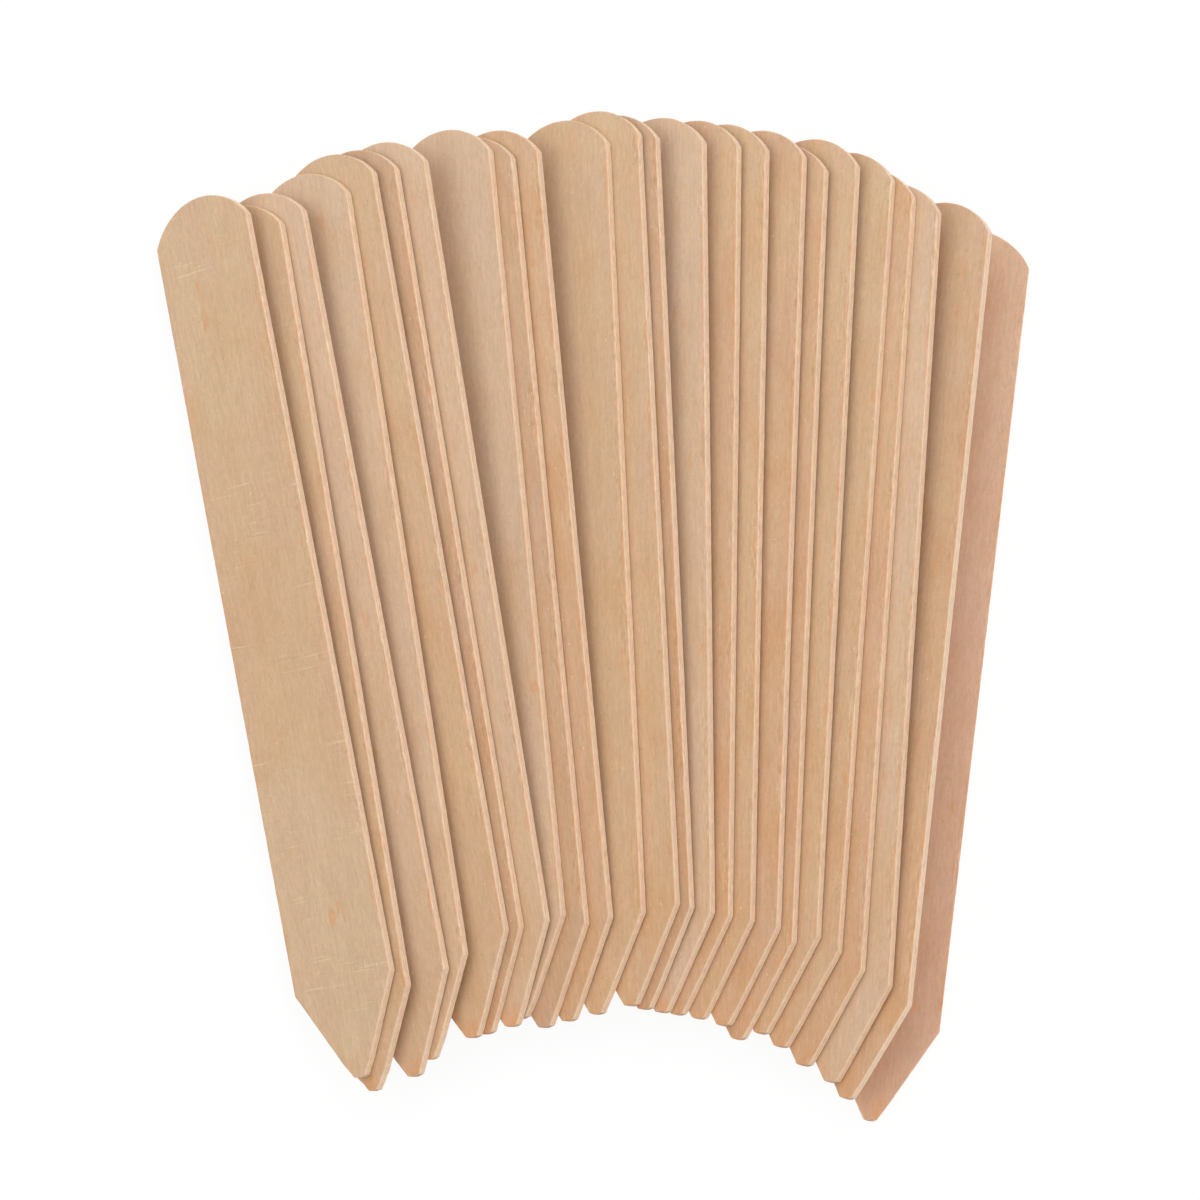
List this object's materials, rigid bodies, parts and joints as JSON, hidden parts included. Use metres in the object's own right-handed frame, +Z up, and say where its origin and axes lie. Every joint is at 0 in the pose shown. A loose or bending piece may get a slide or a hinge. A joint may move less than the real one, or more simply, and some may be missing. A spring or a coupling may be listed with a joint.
{
  "type": "plant label stake",
  "caption": "Fan of loose flat wooden plant label stakes with rounded heads and blunt points, shingled side by side as they lie on a table.",
  "frame": {"origin": "on the surface that the fan lies on, under the middle of the fan's box", "axes": "+Y towards the rounded heads, +X across the fan from the top stake to the bottom one, +Z up"},
  "size_m": [0.1464, 0.1678, 0.0133],
  "materials": {
    "wood_straw": "plain sanded thin wood, unvarnished",
    "wood_pale": "plain sanded thin wood, unvarnished",
    "wood_honey": "plain sanded thin wood, unvarnished",
    "wood_tan": "plain sanded thin wood, unvarnished",
    "wood_rose": "plain sanded thin wood, unvarnished"
  },
  "bodies": {
    "stake_01": {"stake_01": "wood_straw"},
    "stake_02": {"stake_02": "wood_straw"},
    "stake_03": {"stake_03": "wood_pale"},
    "stake_04": {"stake_04": "wood_pale"},
    "stake_05": {"stake_05": "wood_straw"},
    "stake_06": {"stake_06": "wood_tan"},
    "stake_07": {"stake_07": "wood_pale"},
    "stake_08": {"stake_08": "wood_pale"},
    "stake_09": {"stake_09": "wood_tan"},
    "stake_10": {"stake_10": "wood_honey"},
    "stake_11": {"stake_11": "wood_straw"},
    "stake_12": {"stake_12": "wood_straw"},
    "stake_13": {"stake_13": "wood_tan"},
    "stake_14": {"stake_14": "wood_pale"},
    "stake_15": {"stake_15": "wood_honey"},
    "stake_16": {"stake_16": "wood_straw"},
    "stake_17": {"stake_17": "wood_honey"},
    "stake_18": {"stake_18": "wood_honey"},
    "stake_19": {"stake_19": "wood_straw"},
    "stake_20": {"stake_20": "wood_straw"},
    "stake_21": {"stake_21": "wood_honey"},
    "stake_22": {"stake_22": "wood_pale"},
    "stake_23": {"stake_23": "wood_honey"},
    "stake_24": {"stake_24": "wood_rose"}
  },
  "joints": [
    {"name": "lift_23", "type": "slide", "parent": "stake_24", "child": "stake_23", "axis": [0, 0, 1], "range_m": [0, 0.013]},
    {"name": "lift_22", "type": "slide", "parent": "stake_23", "child": "stake_22", "axis": [0, 0, 1], "range_m": [0, 0.013]},
    {"name": "lift_21", "type": "slide", "parent": "stake_22", "child": "stake_21", "axis": [0, 0, 1], "range_m": [0, 0.013]},
    {"name": "lift_20", "type": "slide", "parent": "stake_21", "child": "stake_20", "axis": [0, 0, 1], "range_m": [0, 0.013]},
    {"name": "lift_19", "type": "slide", "parent": "stake_20", "child": "stake_19", "axis": [0, 0, 1], "range_m": [0, 0.013]},
    {"name": "lift_18", "type": "slide", "parent": "stake_19", "child": "stake_18", "axis": [0, 0, 1], "range_m": [0, 0.013]},
    {"name": "lift_17", "type": "slide", "parent": "stake_18", "child": "stake_17", "axis": [0, 0, 1], "range_m": [0, 0.013]},
    {"name": "lift_16", "type": "slide", "parent": "stake_17", "child": "stake_16", "axis": [0, 0, 1], "range_m": [0, 0.013]},
    {"name": "lift_15", "type": "slide", "parent": "stake_16", "child": "stake_15", "axis": [0, 0, 1], "range_m": [0, 0.013]},
    {"name": "lift_14", "type": "slide", "parent": "stake_15", "child": "stake_14", "axis": [0, 0, 1], "range_m": [0, 0.013]},
    {"name": "lift_13", "type": "slide", "parent": "stake_14", "child": "stake_13", "axis": [0, 0, 1], "range_m": [0, 0.013]},
    {"name": "lift_12", "type": "slide", "parent": "stake_13", "child": "stake_12", "axis": [0, 0, 1], "range_m": [0, 0.013]},
    {"name": "lift_11", "type": "slide", "parent": "stake_12", "child": "stake_11", "axis": [0, 0, 1], "range_m": [0, 0.013]},
    {"name": "lift_10", "type": "slide", "parent": "stake_11", "child": "stake_10", "axis": [0, 0, 1], "range_m": [0, 0.013]},
    {"name": "lift_09", "type": "slide", "parent": "stake_10", "child": "stake_09", "axis": [0, 0, 1], "range_m": [0, 0.013]},
    {"name": "lift_08", "type": "slide", "parent": "stake_09", "child": "stake_08", "axis": [0, 0, 1], "range_m": [0, 0.013]},
    {"name": "lift_07", "type": "slide", "parent": "stake_08", "child": "stake_07", "axis": [0, 0, 1], "range_m": [0, 0.013]},
    {"name": "lift_06", "type": "slide", "parent": "stake_07", "child": "stake_06", "axis": [0, 0, 1], "range_m": [0, 0.013]},
    {"name": "lift_05", "type": "slide", "parent": "stake_06", "child": "stake_05", "axis": [0, 0, 1], "range_m": [0, 0.013]},
    {"name": "lift_04", "type": "slide", "parent": "stake_05", "child": "stake_04", "axis": [0, 0, 1], "range_m": [0, 0.013]},
    {"name": "lift_03", "type": "slide", "parent": "stake_04", "child": "stake_03", "axis": [0, 0, 1], "range_m": [0, 0.013]},
    {"name": "lift_02", "type": "slide", "parent": "stake_03", "child": "stake_02", "axis": [0, 0, 1], "range_m": [0, 0.013]},
    {"name": "lift_01", "type": "slide", "parent": "stake_02", "child": "stake_01", "axis": [0, 0, 1], "range_m": [0, 0.013]}
  ]
}
